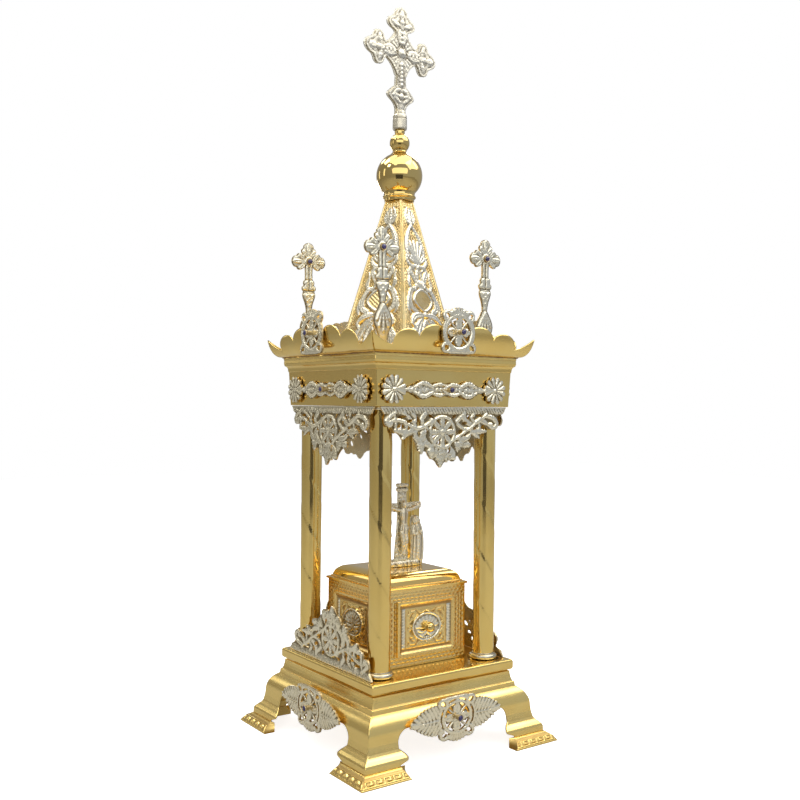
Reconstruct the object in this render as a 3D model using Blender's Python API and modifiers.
"""Altar tabernacle: a gilded chapel on four feet, with a casket and drawer under a canopy.

Metres, +Z up. The origin is on the ground, midway between the four feet. The front, where
the drawer pulls out, faces -Y. Four sides repeat by quarter turns about Z, in the order
front, right, back, left; corners repeat the same way, starting at the front left one.
"""
import math

import bmesh
import bpy
from mathutils import Matrix, Vector

MM = 0.001
GAP = 0.3 * MM
UPRIGHT = Matrix.Rotation(math.radians(90.0), 4, "X")
SIDES = ("front", "right", "back", "left")
CORNERS = ("front_left", "front_right", "back_right", "back_left")

# Overall heights
FOOT_HEIGHT = 8.3 * MM
SLAB_BOTTOM = 60.0 * MM
SLAB_TOP = 69.3 * MM
FRIEZE_BOTTOM = 291.2 * MM
ROOF_TOP = 334.3 * MM
SPIRE_TOP = 475.0 * MM
FINIAL_TOP = 539.7 * MM
CROSS_CENTRE = 607.6 * MM
TOTAL_HEIGHT = 650.0 * MM

# Half widths of the square plan
SLAB_HALF = 74.8 * MM
PODIUM_NECK = 72.6 * MM
LEG_HALF = 87.0 * MM
FOOT_HALF = 102.3 * MM
FRIEZE_HALF = 70.3 * MM
CORNICE_HALF = 75.3 * MM
SPIRE_HALF = 37.4 * MM
SPIRE_TIP_HALF = 8.4 * MM
SPIRE_TURN = math.radians(17.6)

# Sheet and plates
PODIUM_SHEET = 1.3 * MM
CANOPY_SHEET = 1.4 * MM
PARAPET_SHEET = 0.9 * MM
CASTING = 2.2 * MM

# Legs and apron
LEG_INNER = 57.3 * MM
LEG_BULGE = 51.6 * MM
LEG_NECK = 60.0 * MM
APRON_EDGE = 34.3 * MM
APRON_CORNER = 10.5 * MM
FOOT_INNER = 54.8 * MM
FOOT_STRIP_INNER = 92.0 * MM

# Parapet: five scallops a side, then a horn at each corner
PARAPET_RISE = 26.6 * MM
PARAPET_FLARE = 11.7 * MM
SCALLOPS = 5
HORN_START = 0.765

# Columns
COLUMN_AXIS = 55.8 * MM
COLUMN_RADIUS = 9.25 * MM
COLUMN_WALL = 1.0 * MM
RING_RADIUS = 12.25 * MM
RING_HEIGHT = 6.5 * MM
COLLAR_RADIUS = 11.2 * MM
COLLAR_HEIGHT = 2.4 * MM
COLUMN_SIDES = 12

# Openwork castings, which hang as valances and stand as crests
LACE_HALF = 67.0 * MM
LACE_DEPTH = 49.5 * MM
LACE_STRIP = 6.4 * MM
LACE_RING = 14.6 * MM
LACE_RING_CENTRE = 21.0 * MM
LACE_SHIFT = 3.0 * MM
LACE_PLANE = 70.1 * MM

# Casket, lid and drawer
CASKET_HALF = 44.0 * MM
CASKET_TOP = 134.4 * MM
CASKET_WALL = 1.5 * MM
PANEL_WIDTH = 61.3 * MM
PANEL_HEIGHT = 46.5 * MM
PANEL_CENTRE = 102.3 * MM
PANEL_DEPTH = 2.4 * MM
LID_HALF = 45.8 * MM
LID_TOP = 147.4 * MM
DRAWER_WIDTH = 53.0 * MM
DRAWER_HEIGHT = 38.0 * MM
DRAWER_LENGTH = 78.0 * MM
DRAWER_WALL = 1.2 * MM
KNOB_REACH = 9.5 * MM
KNOB_RADIUS = 4.5 * MM

# Stones in collets
STONE_RADIUS = 2.3 * MM
COLLET_RADIUS = 2.9 * MM
COLLET_SIDES = 6


def start_scene():
    """Empty the scene and return the collections for the parts and the cutters."""
    for old in list(bpy.data.objects):
        bpy.data.objects.remove(old)
    found = []
    for name in ("altar_tabernacle", "cutters"):
        group = bpy.data.collections.new(name)
        bpy.context.scene.collection.children.link(group)
        found.append(group)
    return found


PARTS, CUTTERS = start_scene()


def make_material(name, colour, roughness, metallic):
    material = bpy.data.materials.new(name)
    material.use_nodes = True
    shader = material.node_tree.nodes["Principled BSDF"]
    shader.inputs["Base Color"].default_value = (*colour, 1.0)
    shader.inputs["Roughness"].default_value = roughness
    shader.inputs["Metallic"].default_value = metallic
    return material


GOLD = (0.83, 0.62, 0.25)
GOLD_DEEP = (0.80, 0.52, 0.20)
SILVER = (0.80, 0.78, 0.70)


def new_mesh(build):
    """Return a mesh filled by the function build, which is given an empty bmesh."""
    cage = bmesh.new()
    build(cage)
    mesh = bpy.data.meshes.new("shape")
    cage.to_mesh(mesh)
    cage.free()
    return mesh


def scratch(mesh_or_curve):
    """Link a working object among the cutters, hidden from renders."""
    thing = bpy.data.objects.new("scratch", mesh_or_curve)
    CUTTERS.objects.link(thing)
    thing.hide_render = True
    thing.display_type = "WIRE"
    return thing


def baked(thing):
    """Evaluate a working object, weld it, take its place into the mesh and drop the object."""
    bpy.context.view_layer.update()
    graph = bpy.context.evaluated_depsgraph_get()
    mesh = bpy.data.meshes.new_from_object(thing.evaluated_get(graph))
    mesh.transform(thing.matrix_world)
    bpy.data.objects.remove(thing)
    cage = bmesh.new()
    cage.from_mesh(mesh)
    bmesh.ops.remove_doubles(cage, verts=cage.verts, dist=1e-6)
    bmesh.ops.recalc_face_normals(cage, faces=cage.faces)
    cage.to_mesh(mesh)
    cage.free()
    return mesh


def turned(profile, steps, closed=False, square=False):
    """Turn a profile of (radius, height) points about Z; square gives a mitred square plan."""
    stretch = math.sqrt(2.0) if square else 1.0

    def draw(cage):
        points = [cage.verts.new((r * stretch, 0.0, z)) for r, z in profile]
        ends = points[1:] + points[:1] if closed else points[1:]
        for first, second in zip(points, ends):
            cage.edges.new((first, second))

    thing = scratch(new_mesh(draw))
    screw = thing.modifiers.new("turn", "SCREW")
    screw.steps = 4 if square else steps
    screw.render_steps = screw.steps
    screw.use_merge_vertices = True
    screw.merge_threshold = 0.00001
    if square:
        thing.rotation_euler.z = math.radians(45.0)
    return baked(thing)


def thickened(profile, thickness):
    """Close an outer profile, top to bottom, with a copy moved inwards by the thickness."""
    inner = []
    for index, (r, z) in enumerate(profile):
        before = Vector(profile[max(index - 1, 0)])
        after = Vector(profile[min(index + 1, len(profile) - 1)])
        along = (after - before).normalized()
        inner.append((r + along.y * thickness, z - along.x * thickness))
    return list(profile) + inner[::-1]


def flat_plate(loops, thickness):
    """Fill outlines of (u, v) points, holes included, into a plate centred on its thickness."""
    curve = bpy.data.curves.new("outline", "CURVE")
    curve.dimensions = "2D"
    curve.fill_mode = "BOTH"
    curve.extrude = thickness / 2.0
    for loop in loops:
        spline = curve.splines.new("POLY")
        spline.points.add(len(loop) - 1)
        for point, (u, v) in zip(spline.points, loop):
            point.co = (u, v, 0.0, 1.0)
        spline.use_cyclic_u = True
    return baked(scratch(curve))


def box(low, high):
    """A box between two corners."""
    size = Vector(high) - Vector(low)
    middle = (Vector(high) + Vector(low)) / 2.0

    place = Matrix.Translation(middle) @ Matrix.Diagonal((*size, 1.0))

    def draw(cage):
        bmesh.ops.create_cube(cage, size=1.0, matrix=place)

    return new_mesh(draw)


def joined(mesh, others, operation="UNION"):
    """Combine a mesh with others by exact booleans."""
    thing = scratch(mesh)
    cutters = [scratch(other) for other in others]
    for cutter in cutters:
        change = thing.modifiers.new("join", "BOOLEAN")
        change.operation = operation
        change.solver = "EXACT"
        change.object = cutter
    result = baked(thing)
    for cutter in cutters:
        bpy.data.objects.remove(cutter)
    return result


def moved(mesh, matrix):
    """A copy of a mesh, moved by a matrix."""
    copy = mesh.copy()
    copy.transform(matrix)
    return copy


def add_part(name, mesh, material, location=(0.0, 0.0, 0.0), rotation=(0.0, 0.0, 0.0), smooth=None):
    """Add a named part; smooth is the edge angle in degrees that stays sharp."""
    if smooth is not None:
        mesh.shade_smooth()
        mesh.set_sharp_from_angle(angle=math.radians(smooth))
    if not mesh.materials:
        mesh.materials.append(material)
    part = bpy.data.objects.new(name, mesh)
    part.location = location
    part.rotation_euler = rotation
    PARTS.objects.link(part)
    return part


def add_on_sides(name, mesh, material, distance, height, sides=SIDES):
    """Stand a plate drawn in (u, v) on each named side, its thickness pointing outwards."""
    for side in sides:
        turn = math.radians(90.0) * SIDES.index(side)
        place = Matrix.Rotation(turn, 4, "Z") @ Vector((0.0, -distance, height))
        add_part(f"{name}_{side}", mesh, material, place, (math.radians(90.0), 0.0, turn))


def add_at_corners(name, mesh, material, axis, smooth=None):
    """Repeat a part at the four corners, its mesh drawn round the corner's vertical axis."""
    for index, corner in enumerate(CORNERS):
        turn = math.radians(90.0) * index
        place = Matrix.Rotation(turn, 4, "Z") @ Vector((-axis, -axis, 0.0))
        add_part(f"{name}_{corner}", mesh, material, place, (0.0, 0.0, turn), smooth)


def arc(centre, radius, start, end, count):
    """Points on an arc between two angles in degrees, both ends included."""
    found = []
    for index in range(count):
        angle = math.radians(start + (end - start) * index / (count - 1))
        found.append((centre[0] + radius * math.cos(angle), centre[1] + radius * math.sin(angle)))
    return found


def in_mm(points):
    """Scale points written in millimetres to metres."""
    return [(u * MM, v * MM) for u, v in points]


def mirrored_loop(half):
    """Close a half outline, drawn for u >= 0 from one end of the axis to the other."""
    return half + [(-u, v) for u, v in reversed(half) if u > 1e-9]


def collet(height, plate):
    """A stone in its round collet, standing on a plate of the given thickness."""
    base = -plate / 2.0
    profile = [
        (0.0, height),
        (STONE_RADIUS, height - 1.2 * MM),
        (COLLET_RADIUS, height - 1.8 * MM),
        (COLLET_RADIUS, base + 0.37 * MM),
        (0.0, base + 0.37 * MM),
    ]
    return turned(profile, COLLET_SIDES)


def podium_profile():
    """The podium's outer side: fillet, cove, bead, shoulder, leg and the ogee above the foot."""
    neck = [
        (PODIUM_NECK, SLAB_BOTTOM - GAP),
        (PODIUM_NECK, 57.4 * MM),
        (PODIUM_NECK + 1.7 * MM, 50.4 * MM),
        (PODIUM_NECK + 3.0 * MM, 49.8 * MM),
        (PODIUM_NECK + 3.2 * MM, 47.8 * MM),
    ]
    shoulder = arc((67.4 * MM, 30.4 * MM), 18.0 * MM, 61.0, 0.0, 4)
    foot = [
        (LEG_HALF, 20.5 * MM),
        (LEG_HALF + 3.6 * MM, 16.4 * MM),
        (LEG_HALF + 6.4 * MM, 12.8 * MM),
        (LEG_HALF + 6.6 * MM, FOOT_HEIGHT + GAP),
    ]
    return neck + shoulder + foot


def apron_opening():
    """The way between two legs: neck, bulge, leg, round corner and straight apron edge."""
    corner = (LEG_INNER - APRON_CORNER, APRON_EDGE - APRON_CORNER)
    half = [
        (0.0, -5.0 * MM),
        (LEG_NECK, -5.0 * MM),
        (LEG_NECK, 9.6 * MM),
        (LEG_BULGE + 1.0 * MM, 12.2 * MM),
        (LEG_BULGE, 14.4 * MM),
        (LEG_BULGE + 1.4 * MM, 16.8 * MM),
        (LEG_INNER, 20.5 * MM),
    ]
    half += arc(corner, APRON_CORNER, 0.0, 90.0, 3)
    half.append((0.0, APRON_EDGE))
    return mirrored_loop(half)


def build_podium(gold):
    shell = turned(thickened(podium_profile(), PODIUM_SHEET), 4, closed=True, square=True)
    cutter = flat_plate([apron_opening()], 4.0 * FOOT_HALF)
    across = Matrix.Rotation(math.radians(90.0), 4, "Z") @ UPRIGHT
    podium = joined(shell, [moved(cutter, UPRIGHT), moved(cutter, across)], "DIFFERENCE")
    add_part("podium", podium, gold, smooth=25.0)


def build_feet(gold):
    profile = [
        (93.8 * MM, FOOT_HEIGHT),
        (95.4 * MM, 7.4 * MM),
        (98.8 * MM, 5.4 * MM),
        (101.3 * MM, 2.6 * MM),
        (FOOT_HALF, 0.9 * MM),
        (FOOT_HALF - 0.3 * MM, 0.0),
        (FOOT_STRIP_INNER, 0.0),
        (FOOT_STRIP_INNER, FOOT_HEIGHT),
    ]
    ring = turned(profile, 4, closed=True, square=True)
    corner = box((-110 * MM, -110 * MM, -MM), (-FOOT_INNER, -FOOT_INNER, FOOT_HEIGHT + MM))
    lean = (LEG_NECK - FOOT_INNER) / FOOT_HEIGHT
    for vertex in corner.vertices:
        for axis in (0, 1):
            if vertex.co[axis] > -100 * MM:
                vertex.co[axis] -= lean * max(vertex.co.z, 0.0)
    foot = joined(ring, [corner], "INTERSECT")
    foot.transform(Matrix.Translation((COLUMN_AXIS, COLUMN_AXIS, 0.0)))
    add_at_corners("foot", foot, gold, COLUMN_AXIS)


def build_slab(gold):
    profile = [
        (0.0, SLAB_TOP),
        (SLAB_HALF - 1.9 * MM, SLAB_TOP),
        (SLAB_HALF - 0.6 * MM, SLAB_TOP - 0.6 * MM),
        (SLAB_HALF, SLAB_TOP - 2.0 * MM),
        (SLAB_HALF, SLAB_BOTTOM + 2.2 * MM),
        (SLAB_HALF - 0.7 * MM, SLAB_BOTTOM + 0.7 * MM),
        (SLAB_HALF - 2.0 * MM, SLAB_BOTTOM),
        (0.0, SLAB_BOTTOM),
    ]
    add_part("base_plate", turned(profile, 4, square=True), gold, smooth=25.0)


def build_columns(gold, silver):
    foot = SLAB_TOP + GAP
    head = FRIEZE_BOTTOM - GAP
    inner = COLUMN_RADIUS - COLUMN_WALL
    tube = [(COLUMN_RADIUS, head), (COLUMN_RADIUS, foot), (inner, foot), (inner, head)]
    add_at_corners("column", turned(tube, COLUMN_SIDES, closed=True), gold, COLUMN_AXIS, smooth=40.0)
    bore = COLUMN_RADIUS + GAP + 0.1 * MM
    ring = [
        (RING_RADIUS - 1.6 * MM, foot + RING_HEIGHT),
        (RING_RADIUS, foot + RING_HEIGHT * 0.55),
        (RING_RADIUS, foot),
        (bore, foot),
    ]
    add_at_corners("base_ring", turned(ring, COLUMN_SIDES, closed=True), silver, COLUMN_AXIS, smooth=40.0)
    collar = [
        (COLLAR_RADIUS, head),
        (COLLAR_RADIUS, head - COLLAR_HEIGHT),
        (bore, head - COLLAR_HEIGHT),
        (bore, head),
    ]
    add_at_corners("top_collar", turned(collar, COLUMN_SIDES, closed=True), silver, COLUMN_AXIS, smooth=40.0)


def build_canopy(gold):
    """Frieze, cove, cornice and roof in one folded body, open below inside a wide lip."""
    wall = CANOPY_SHEET
    lip = 40.0 * MM
    profile = [
        (0.0, ROOF_TOP),
        (CORNICE_HALF, ROOF_TOP),
        (CORNICE_HALF, 328.6 * MM),
        (CORNICE_HALF - 0.5 * MM, 327.0 * MM),
        (CORNICE_HALF - 2.4 * MM, 324.0 * MM),
        (CORNICE_HALF - 3.2 * MM, 321.5 * MM),
        (FRIEZE_HALF, FRIEZE_BOTTOM),
        (lip, FRIEZE_BOTTOM),
        (lip, FRIEZE_BOTTOM + wall),
        (FRIEZE_HALF - wall, FRIEZE_BOTTOM + wall),
        (CORNICE_HALF - 3.2 * MM - wall, 321.5 * MM),
        (CORNICE_HALF - wall, 328.6 * MM),
        (CORNICE_HALF - wall, ROOF_TOP - wall),
        (0.0, ROOF_TOP - wall),
    ]
    add_part("canopy", turned(profile, 4, square=True), gold)


def parapet_half(height):
    """Half width of the flared parapet at a height above the roof: a quarter-round bowl."""
    reach = min(height / PARAPET_RISE, 1.0)
    return CORNICE_HALF + PARAPET_FLARE * math.sin(math.acos(1.0 - reach)) ** 0.8


def parapet_edge(t):
    """Height of the scalloped edge above the roof at t, from -1 to 1 along one side."""
    across = abs(t)
    swell = PARAPET_RISE - 10.6 * MM * math.sin(math.pi / 2.0 * across) ** 1.6
    if across < HORN_START:
        phase = (t / HORN_START * SCALLOPS + 1.0) % 2.0 - 1.0
    else:
        phase = 1.0 - (across - HORN_START) / (1.0 - HORN_START)
    bite = (6.8 + 5.6 * across) * MM
    return swell - bite * (1.0 - math.sqrt(max(1.0 - phase * phase, 0.0)))


def build_parapet(gold):
    """Four flared sheets, mitred and cut in scallops that end in horns at the corners."""
    pitch = 2.0 * HORN_START / SCALLOPS
    stops = []
    for index in range(SCALLOPS):
        start = -HORN_START + index * pitch
        stops += [start, start + 0.24 * pitch, start + 0.76 * pitch]
    stops += [HORN_START, 1.0]
    rows = 3

    def draw(cage):
        columns = []
        for turn in range(4):
            quarter = Matrix.Rotation(math.radians(90.0) * turn, 4, "Z")
            for t in stops:
                column = []
                for row in range(rows):
                    height = parapet_edge(t) * (row / (rows - 1)) ** 1.4
                    half = parapet_half(height)
                    point = quarter @ Vector((t * half, -half, ROOF_TOP + GAP + height))
                    column.append(cage.verts.new(point))
                columns.append(column)
        for left, right in zip(columns, columns[1:] + columns[:1]):
            for row in range(rows - 1):
                cage.faces.new((left[row], right[row], right[row + 1], left[row + 1]))

    thing = scratch(new_mesh(draw))
    sheet = thing.modifiers.new("sheet", "SOLIDIFY")
    sheet.thickness = PARAPET_SHEET
    sheet.offset = -1.0
    sheet.use_even_offset = True
    add_part("parapet", baked(thing), gold, smooth=30.0)


def spire_relief():
    """Leaves, cartouche and palmette of one spire face, as outlines on (u, v) from its foot."""
    leaf = [(0.0, 30.0), (9.0, 22.0), (18.0, 3.5), (21.5, 15.0), (12.5, 34.0)]
    scroll = [(15.0, 47.0), (9.0, 60.0), (7.6, 76.0)]
    palm = [(9.6, 88.0), (5.2, 110.0), (2.4, 131.0), (0.0, 134.0)]
    field = [(0.0, 38.0), (8.6, 42.0), (6.5, 54.0), (0.0, 57.5)]
    return [mirrored_loop(in_mm(leaf + scroll + palm)), mirrored_loop(in_mm(field))]


def build_spire(gold):
    """A square spire with raised arrises and cast leaves on its sunk faces."""
    foot = ROOF_TOP + GAP
    height = SPIRE_TOP - foot
    edge = 3.6 * MM
    sunk = 0.8 * MM
    profile = [(0.0, SPIRE_TOP), (SPIRE_TIP_HALF, SPIRE_TOP), (SPIRE_HALF, foot), (0.0, foot)]

    def draw(cage):
        cage.from_mesh(turned(profile, 4, square=True))
        bmesh.ops.dissolve_limit(cage, angle_limit=0.01, verts=cage.verts, edges=cage.edges)
        faces = [face for face in cage.faces if abs(face.normal.z) < 0.5]
        bmesh.ops.inset_individual(cage, faces=faces, thickness=edge, depth=-sunk)

    slope = math.atan2(SPIRE_HALF - SPIRE_TIP_HALF, height)
    plate = flat_plate(spire_relief(), 1.8 * MM)
    lean = Matrix.Rotation(math.radians(90.0) - slope, 4, "X")
    stand = Matrix.Translation((0.0, -SPIRE_HALF + 0.5 * MM, foot)) @ lean
    reliefs = []
    for turn in range(4):
        quarter = Matrix.Rotation(math.radians(90.0) * turn, 4, "Z")
        reliefs.append(moved(plate, quarter @ stand))
    spire = joined(new_mesh(draw), reliefs)
    add_part("spire", spire, gold, rotation=(0.0, 0.0, SPIRE_TURN))


def build_finial(gold):
    """Torus, neck, onion ball, upper neck and small ball, turned in one piece."""
    ball = 20.75 * MM
    ball_height = 498.9 * MM
    small = 9.0 * MM
    small_height = 528.0 * MM
    profile = [(0.0, FINIAL_TOP), (4.6 * MM, FINIAL_TOP)]
    profile += arc((0.0, small_height), small, 50.0, -46.0, 4)
    profile += [(7.2 * MM, 518.8 * MM)]
    profile += arc((0.0, ball_height), ball, 55.0, -46.0, 6)
    profile += [
        (15.2 * MM, 481.6 * MM),
        (15.2 * MM, 478.0 * MM),
        (13.6 * MM, SPIRE_TOP + GAP),
        (0.0, SPIRE_TOP + GAP),
    ]
    add_part("finial", turned(profile, 14), gold, smooth=35.0)


def lobed_arm(reach, lobe, neck):
    """One half of a cross arm ending in three round lobes, from its neck out to its tip."""
    side = reach - 14.0 * MM
    lower = arc((side, lobe - 4.8 * MM), 4.8 * MM, 215.0, 55.0, 4)
    tip = arc((reach - 6.0 * MM, 0.0), 6.0 * MM, 62.0, 0.0, 3)
    return [(side - 9.0 * MM, neck)] + lower + tip


def build_top_cross(silver):
    """A budded cross with rayed corners, on a beaded shaft, lower bud and round socket."""
    right = lobed_arm(40.0 * MM, 14.0 * MM, 6.4 * MM)
    top = lobed_arm(TOTAL_HEIGHT - CROSS_CENTRE, 12.8 * MM, 6.2 * MM)
    shaft = 3.9 * MM
    ray = 9.6 * MM
    half = [(v, u) for u, v in reversed(top)]
    half += [(ray, ray)] + right
    half += [(u, -v) for u, v in reversed(right[:-1])]
    half += [
        (ray, -ray),
        (shaft + 1.0 * MM, -17.0 * MM),
        (shaft, -28.0 * MM),
        (8.0 * MM, -31.5 * MM),
        (13.4 * MM, -37.0 * MM),
        (8.6 * MM, -42.5 * MM),
        (3.6 * MM, -47.0 * MM),
        (3.2 * MM, -52.0 * MM),
        (0.0, -52.0 * MM),
    ]
    plate = flat_plate([mirrored_loop(half)], 4.0 * MM)
    plate.transform(Matrix.Translation((0.0, 0.0, CROSS_CENTRE)) @ UPRIGHT)
    foot = FINIAL_TOP + GAP
    socket = [
        (0.0, foot + 17.5 * MM),
        (4.2 * MM, foot + 17.5 * MM),
        (5.4 * MM, foot + 13.5 * MM),
        (5.4 * MM, foot),
        (0.0, foot),
    ]
    cross = joined(plate, [turned(socket, 8)])
    add_part("top_cross", cross, silver, rotation=(0.0, 0.0, math.radians(5.9)))


def build_corner_crosses(silver):
    """Four standing crosses: a fan foot, a belly with pellets, a stem and three pointed arms."""
    thick = 3.0 * MM
    centre = 87.4 * MM
    half = [
        (0.0, 105.2), (7.0, 95.6), (4.6, 91.6), (14.4, 87.4), (8.6, 80.2),
        (2.7, 82.0), (2.7, 70.0), (5.2, 64.4), (4.9, 52.5), (3.0, 41.0),
        (9.4, 24.0), (4.0, 14.0), (4.0, 0.0),
    ]
    outline = mirrored_loop(in_mm(half))
    stone = collet(4.4 * MM, thick)
    stone.transform(Matrix.Translation((0.0, centre, 0.0)))
    cross = joined(flat_plate([outline], thick), [stone])
    cross.transform(UPRIGHT)
    places = ((-52.8, -54.0), (54.6, -55.4), (56.0, 56.0), (-58.4, 57.6))
    for corner, (x, y) in zip(CORNERS, places):
        spot = (x * MM, y * MM, ROOF_TOP + GAP)
        add_part(f"corner_cross_{corner}", cross, silver, spot)


def rosette_ring(outer, inner, squash, spokes):
    """A round frame whose opening is parted by the spokes of a cross-shaped flower."""
    rim = [(u, v * squash) for u, v in arc((0.0, 0.0), outer, 0.0, 360.0, 17)[:-1]]
    holes = []
    for index in range(spokes):
        middle = 360.0 / spokes * (index + 0.5)
        spread = 180.0 / spokes - 14.0
        edge = arc((0.0, 0.0), inner, middle - spread, middle + spread, 2)
        centre = arc((0.0, 0.0), inner * 0.36, middle, middle + 1.0, 2)[0]
        holes.append([(u, v * squash) for u, v in edge + [centre]])
    return rim, holes


def with_lobes(rim, lobes):
    """Push points of a rim outwards where lobes (angle, width, height) stand on it."""
    changed = []
    for u, v in rim:
        angle = math.degrees(math.atan2(v, u))
        push = 0.0
        for middle, width, height in lobes:
            apart = abs((angle - middle + 180.0) % 360.0 - 180.0)
            push += height * max(0.0, 1.0 - apart / width)
        scale = 1.0 + push / math.hypot(u, v)
        changed.append((u * scale, v * scale))
    return changed


def medallion_plate(crown, wings):
    """An oval openwork medallion with corner loops, a crown, and feather wings if asked."""
    rim, holes = rosette_ring(14.6 * MM, 10.2 * MM, 1.06, 4)
    lobes = [(45, 20, 3.2 * MM), (135, 20, 3.2 * MM), (-45, 20, 3.2 * MM), (-135, 20, 3.2 * MM)]
    lobes.append((90.0 if crown > 0 else -90.0, 40.0, abs(crown)))
    outline = with_lobes(rim, lobes)
    plate = flat_plate([outline] + holes, CASTING)
    extras = [collet(6.6 * MM, CASTING)]
    if wings:
        feathers = [(13.0, 4.0), (21.0, 11.4), (34.0, 10.6), (46.5, 0.5), (34.0, -8.0), (20.0, -9.0),
                    (12.5, -5.0)]
        wing = flat_plate([in_mm(feathers)], CASTING - 0.4 * MM)
        extras += [wing, moved(wing, Matrix.Rotation(math.radians(180.0), 4, "Y"))]
    return joined(plate, extras)


def build_medallions(silver):
    parapet_plane = 88.6 * MM
    add_on_sides("parapet_medallion", medallion_plate(5.0 * MM, False), silver, parapet_plane,
                 353.6 * MM)
    apron_plane = LEG_HALF + GAP + CASTING / 2.0
    add_on_sides("apron_medallion", medallion_plate(-5.6 * MM, True), silver, apron_plane,
                 36.0 * MM)


def build_frieze_ornaments(silver):
    """Bar ornaments: a flower at each end, leafy swells and a stone in the middle."""
    petal_count = 10
    flower = 11.9 * MM
    flower_axis = 53.6 * MM
    body = [(0.0, 6.4), (9.0, 7.6), (18.0, 6.2), (23.5, 7.8), (32.0, 5.4), (42.5, 1.7)]
    half = in_mm(body)
    petals = []
    for index in range(petal_count):
        angle = math.radians(180.0 - 360.0 / petal_count * (index + 0.5))
        petals.append((flower_axis + flower * math.cos(angle), flower * math.sin(angle)))
    outline = half + petals + [(u, -v) for u, v in reversed(half)]
    outline += [(-u, v) for u, v in reversed(outline[1:-1])]
    plate = flat_plate([outline], CASTING)
    ornament = joined(plate, [collet(7.4 * MM, CASTING)])
    plane = FRIEZE_HALF + 1.8 * MM + GAP + CASTING / 2.0
    add_on_sides("frieze_ornament", ornament, silver, plane, 305.2 * MM)


def lace_plate():
    """Openwork triangle of vine scrolls round a flower ring, standing a little off its strip's middle."""
    half = [
        (LACE_HALF / MM, 0.0), (LACE_HALF / MM, 4.6), (62.4, LACE_STRIP / MM), (62.0, 16.4),
        (55.0, 12.6), (51.6, 21.0), (45.4, 26.4), (37.0, 21.8), (29.6, 26.0), (26.0, 34.0),
        (18.0, 34.6), (9.6, 42.0), (0.0, LACE_DEPTH / MM),
    ]
    outer = mirrored_loop(in_mm(half))
    flower = rosette_ring(LACE_RING, 11.6 * MM, 1.0, 4)[1]
    holes = [[(u, v + LACE_RING_CENTRE) for u, v in hole] for hole in flower]
    sides = [
        [(46.4, 8.0), (58.0, 8.0), (48.4, 16.0)],
        [(32.4, 8.0), (43.0, 8.0), (38.6, 18.0)],
        [(16.4, 8.0), (29.6, 8.0), (22.6, 17.4)],
    ]
    for hole in sides:
        points = in_mm(hole)
        holes.append(points)
        holes.append([(-u, v) for u, v in reversed(points)])
    shifted = [[(u + (LACE_SHIFT if v > LACE_STRIP else 0.0), v) for u, v in loop]
               for loop in [outer] + holes]
    return flat_plate(shifted, CASTING)


def build_lace(silver):
    plate = lace_plate()
    hanging = moved(plate, Matrix.Rotation(math.radians(180.0), 4, "Z"))
    add_on_sides("valance", hanging, silver, LACE_PLANE, FRIEZE_BOTTOM - GAP)
    add_on_sides("crest", plate, silver, LACE_PLANE, SLAB_TOP + GAP, SIDES[1:])


def framed_panel(depth):
    """A rectangular panel with a mitred moulding round a sunk field, its back at w = 0."""

    def draw(cage):
        size = (PANEL_WIDTH, PANEL_HEIGHT, depth * 0.6, 1.0)
        place = Matrix.Translation((0.0, 0.0, depth * 0.3)) @ Matrix.Diagonal(size)
        bmesh.ops.create_cube(cage, size=1.0, matrix=place)
        cage.normal_update()
        field = [face for face in cage.faces if face.normal.z > 0.9]
        for width, rise in ((1.2 * MM, 0.4), (1.2 * MM, 0.0), (2.8 * MM, -0.6)):
            bmesh.ops.inset_individual(cage, faces=field, thickness=width, depth=depth * rise)

    return new_mesh(draw)


def oval_medal():
    """A low oval medal with a raised rim, its back at w = 0."""
    medal = turned([(0.0, 0.9 * MM), (0.82, 0.9 * MM), (0.92, 1.6 * MM), (1.0, 0.0), (0.0, 0.0)], 14)
    medal.transform(Matrix.Diagonal((13.4 * MM, 12.4 * MM, 1.0, 1.0)))
    return medal


def build_casket(gold, silver):
    """A hollow box, open above and at the drawer, with framed panels on its other sides."""
    low = SLAB_TOP + GAP
    half = CASKET_HALF
    wall = CASKET_WALL
    shell = box((-half, -half, low), (half, half, CASKET_TOP))
    inside = box((-half + wall, -half + wall, low + wall), (half - wall, half - wall, CASKET_TOP + MM))
    mouth_half = DRAWER_WIDTH / 2.0 + GAP * 2.0
    mouth_rise = DRAWER_HEIGHT / 2.0 + GAP * 2.0
    mouth = box((-mouth_half, -half - MM, PANEL_CENTRE - mouth_rise),
                (mouth_half, -half + 2.0 * wall, PANEL_CENTRE + mouth_rise))
    shell = joined(shell, [inside, mouth], "DIFFERENCE")
    panel = framed_panel(PANEL_DEPTH)
    panels = []
    for turn in (1, 2, 3):
        quarter = Matrix.Rotation(math.radians(90.0) * turn, 4, "Z")
        spot = Matrix.Translation((0.0, -half + 0.4 * MM, PANEL_CENTRE))
        panels.append(moved(panel, quarter @ spot @ UPRIGHT))
    add_part("casket", joined(shell, panels), gold)
    field = 0.4 * PANEL_DEPTH
    add_on_sides("casket_medal", oval_medal(), silver, half - 0.4 * MM + field + GAP, PANEL_CENTRE,
                 SIDES[1:])


def build_lid(gold):
    """A lift-off lid: a flat flange, a cushion-shaped swell and a flat top, hollow below."""
    swell = [(41.4, 138.6), (40.6, 141.4), (38.2, 144.4), (35.0, 146.4), (31.0, LID_TOP / MM)]
    outer = [(0.0, LID_TOP)] + in_mm(reversed(swell))
    outer += [(42.8 * MM, 137.5 * MM), (LID_HALF, 136.9 * MM), (LID_HALF, CASKET_TOP + GAP)]
    hollow = [(41.9, 134.7), (40.0, 138.4), (37.0, 142.8), (33.0, 145.3), (30.5, 146.0), (0.0, 146.0)]
    add_part("casket_lid", turned(outer + in_mm(hollow), 4, square=True), gold, smooth=30.0)


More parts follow.
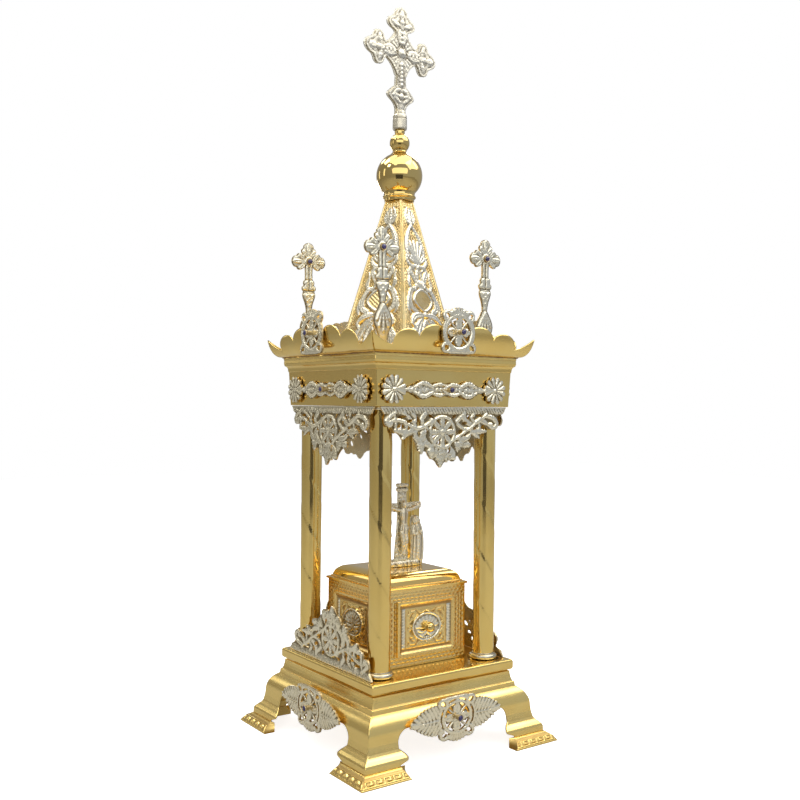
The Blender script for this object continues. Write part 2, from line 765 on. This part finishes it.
def build_drawer(gold, silver):
    """A framed front, an open tray behind it, an oval medal and a round pull."""
    front = -CASKET_HALF - GAP
    panel = framed_panel(PANEL_DEPTH)
    panel.transform(Matrix.Translation((0.0, front, PANEL_CENTRE)) @ UPRIGHT)
    low = PANEL_CENTRE - DRAWER_HEIGHT / 2.0
    high = PANEL_CENTRE + DRAWER_HEIGHT / 2.0
    back = front + DRAWER_LENGTH
    wide = DRAWER_WIDTH / 2.0
    wall = DRAWER_WALL
    tray = box((-wide, front - 0.5 * MM, low), (wide, back, high))
    space = box((-wide + wall, front + wall, low + wall), (wide - wall, back - wall, high + MM))
    drawer = joined(joined(tray, [space], "DIFFERENCE"), [panel])
    rest = Vector((0.0, front, PANEL_CENTRE))
    drawer.transform(Matrix.Translation(-rest))
    add_part("drawer", drawer, gold, rest)
    face = Matrix.Translation((0.0, -0.4 * PANEL_DEPTH - GAP, 0.0)) @ UPRIGHT
    medal = oval_medal()
    hole = turned([(0.0, 4.0 * MM), (2.2 * MM, 4.0 * MM), (2.2 * MM, -MM), (0.0, -MM)], 8)
    medal = joined(medal, [hole], "DIFFERENCE")
    medal.transform(face)
    add_part("drawer_medal", medal, silver, rest)
    ball = KNOB_REACH - KNOB_RADIUS
    profile = [(0.0, KNOB_REACH)] + arc((0.0, ball), KNOB_RADIUS, 66.0, -58.0, 5)
    profile += [(1.9 * MM, 0.9 * MM), (1.9 * MM, 0.0), (0.0, 0.0)]
    knob = turned(profile, 10)
    knob.transform(face)
    add_part("drawer_knob", knob, gold, rest, smooth=40.0)


def robed_figure(height, width, lean):
    """A standing robed figure with a veiled head, turned and flattened front to back."""
    profile = [
        (0.0, 1.0), (0.27, 0.95), (0.28, 0.86), (0.20, 0.81), (0.46, 0.75),
        (0.48, 0.60), (0.42, 0.42), (0.50, 0.0), (0.0, 0.0),
    ]
    figure = turned([(r * width, z * height) for r, z in profile], 6)
    figure.transform(Matrix.Diagonal((1.0, 0.7, 1.0, 1.0)))
    for vertex in figure.vertices:
        vertex.co.x += lean * (vertex.co.z / height) ** 2
    return figure


def build_crucifix(silver):
    """A cross with its figure between two standing mourners, on a low curved base."""
    foot = LID_TOP + GAP
    beam = [(3.4, 1.0), (3.0, 48.0), (19.4, 53.0), (18.8, 59.4), (3.6, 58.0),
            (3.4, 67.0), (4.8, 68.0), (4.8, 75.6)]
    cross = flat_plate([mirrored_loop(in_mm(beam))], 3.0 * MM)
    cross.transform(UPRIGHT)
    curve = [(0.0, 6.0), (16.0, 5.4), (22.5, 3.6), (22.5, -1.0), (18.0, -5.6), (9.0, -7.6), (0.0, -8.2)]
    base = flat_plate([mirrored_loop(in_mm(curve))], 5.4 * MM)
    base.transform(Matrix.Translation((0.0, 0.0, 2.7 * MM)))
    torso = [(0.0, 60.5), (2.3, 58.6), (2.2, 55.6), (1.4, 54.0), (3.9, 51.6), (3.2, 42.0),
             (3.8, 36.0), (2.4, 25.0), (1.5, 13.0), (0.0, 12.0)]
    body = turned(in_mm(torso), 6)
    body.transform(Matrix.Translation((0.0, -1.8 * MM, 0.0)))
    mourners = []
    for sign in (-1.0, 1.0):
        figure = robed_figure(39.5 * MM, 11.6 * MM, -1.5 * MM * sign)
        figure.transform(Matrix.Translation((15.6 * MM * sign, -1.4 * MM, 4.6 * MM)))
        mourners.append(figure)
    group = joined(base, [cross, body] + mourners)
    add_part("crucifix_group", group, silver, (0.0, 0.0, foot))


def build_tabernacle():
    gold = make_material("polished_gilt_brass", GOLD, 0.22, 1.0)
    deep = make_material("chased_gilt_brass", GOLD_DEEP, 0.30, 1.0)
    silver = make_material("cast_silver", SILVER, 0.32, 1.0)
    build_podium(gold)
    build_feet(deep)
    build_slab(gold)
    build_columns(gold, silver)
    build_canopy(gold)
    build_parapet(gold)
    build_spire(deep)
    build_finial(gold)
    build_top_cross(silver)
    build_corner_crosses(silver)
    build_medallions(silver)
    build_frieze_ornaments(silver)
    build_lace(silver)
    build_casket(deep, silver)
    build_lid(deep)
    build_drawer(deep, silver)
    build_crucifix(silver)


build_tabernacle()
